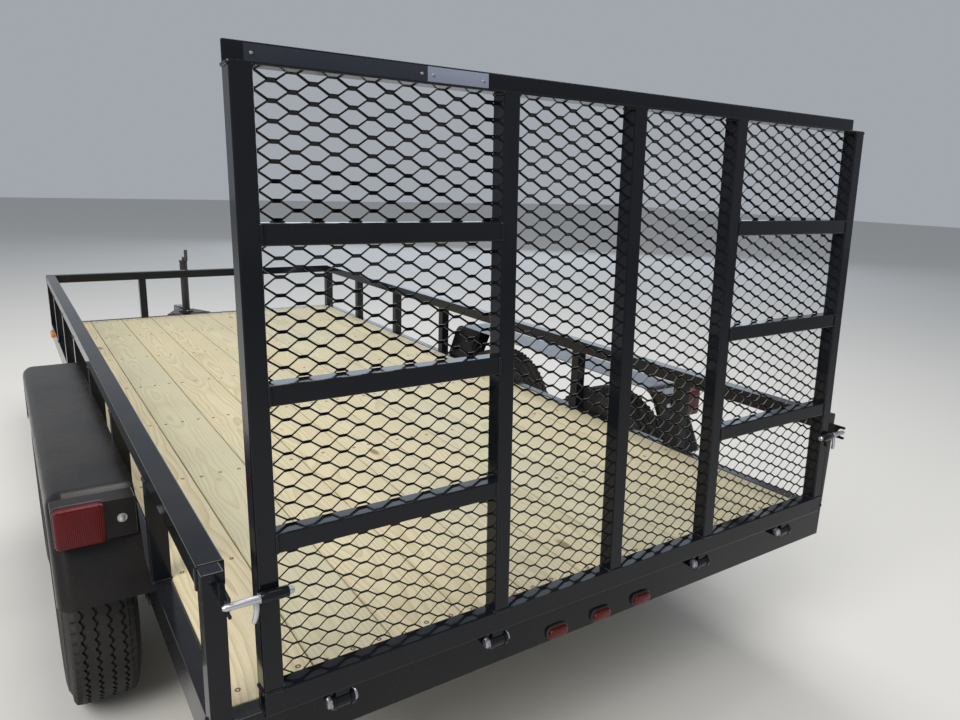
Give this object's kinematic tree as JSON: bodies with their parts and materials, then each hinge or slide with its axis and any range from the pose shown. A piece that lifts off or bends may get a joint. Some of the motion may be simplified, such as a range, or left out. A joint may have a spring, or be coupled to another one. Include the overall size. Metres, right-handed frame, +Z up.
{
  "type": "utility trailer",
  "caption": "Open tandem-axle utility trailer: plank deck inside low tube rails, mesh ramp gate at the rear, A-frame tongue and top-wind jack.",
  "frame": {"origin": "middle of the trailer's footprint box, on the ground", "axes": "+X forward to the hitch, +Y to the left, +Z up"},
  "size_m": [5.3098, 2.376, 1.8047],
  "materials": {
    "frame_paint": "gloss",
    "fender_paint": "gloss",
    "gate_paint": "satin",
    "running_gear_paint": "satin",
    "pine_boards": "matte",
    "zinc": "satin",
    "wheel_paint": "gloss",
    "tyre_rubber": "matte",
    "red_lens": "gloss",
    "blank_plate": "satin",
    "amber_lens": "gloss",
    "pale_plate": "satin"
  },
  "bodies": {
    "chassis": {"axle_clamps": "running_gear_paint", "axle_front": "running_gear_paint", "axle_rear": "running_gear_paint", "corner_post_left": "frame_paint", "corner_post_right": "frame_paint", "coupler": "frame_paint", "coupler_latch": "zinc", "crossmembers": "frame_paint", "deck_boards": "pine_boards", "equalizers": "running_gear_paint", "fender_left": "fender_paint", "fender_right": "fender_paint", "frame_front_channel": "frame_paint", "frame_rear_channel": "frame_paint", "frame_side_left": "frame_paint", "frame_side_right": "frame_paint", "gate_hinge_lugs": "frame_paint", "id_lamps": "red_lens", "jack_crank": "running_gear_paint", "jack_tube": "running_gear_paint", "side_markers": "amber_lens", "spring_hangers": "running_gear_paint", "spring_shackles": "running_gear_paint", "springs_left": "running_gear_paint", "springs_right": "running_gear_paint", "tail_brackets": "frame_paint", "tail_lamp_left": "red_lens", "tail_lamp_right": "red_lens", "tongue_left": "frame_paint", "tongue_plate": "frame_paint", "tongue_right": "frame_paint", "top_rail_front": "frame_paint", "top_rail_left": "frame_paint", "top_rail_right": "frame_paint", "uprights_front": "frame_paint", "uprights_left": "frame_paint", "uprights_right": "frame_paint"},
    "gate": {"gate_frame": "gate_paint", "gate_knuckles": "gate_paint", "gate_latches": "zinc", "gate_mesh": "gate_paint", "gate_rungs": "gate_paint", "gate_sign": "blank_plate", "gate_small_sign": "pale_plate"},
    "jack_leg": {"jack_foot": "zinc", "jack_leg": "zinc"},
    "wheel_front_left": {"tyre_front_left": "tyre_rubber", "wheel_front_left": "wheel_paint"},
    "wheel_rear_left": {"tyre_rear_left": "tyre_rubber", "wheel_rear_left": "wheel_paint"},
    "wheel_front_right": {"tyre_front_right": "tyre_rubber", "wheel_front_right": "wheel_paint"},
    "wheel_rear_right": {"tyre_rear_right": "tyre_rubber", "wheel_rear_right": "wheel_paint"}
  },
  "joints": [
    {"name": "gate_hinge", "type": "hinge", "parent": "chassis", "child": "gate", "pos_m": [-2.62307, 0, 0.574], "axis": [0, -1, 0], "range_deg": [0, 118]},
    {"name": "jack_slide", "type": "slide", "parent": "chassis", "child": "jack_leg", "axis": [0, 0, 1], "range_m": [0, 0.3]},
    {"name": "wheel_front_left_spin", "type": "hinge", "parent": "chassis", "child": "wheel_front_left", "pos_m": [-0.62207, 1.085, 0.3435], "axis": [0, 1, 0], "continuous": true},
    {"name": "wheel_rear_left_spin", "type": "hinge", "parent": "chassis", "child": "wheel_rear_left", "pos_m": [-1.47207, 1.085, 0.3435], "axis": [0, 1, 0], "continuous": true},
    {"name": "wheel_front_right_spin", "type": "hinge", "parent": "chassis", "child": "wheel_front_right", "pos_m": [-0.62207, -1.085, 0.3435], "axis": [0, 1, 0], "continuous": true},
    {"name": "wheel_rear_right_spin", "type": "hinge", "parent": "chassis", "child": "wheel_rear_right", "pos_m": [-1.47207, -1.085, 0.3435], "axis": [0, 1, 0], "continuous": true}
  ]
}
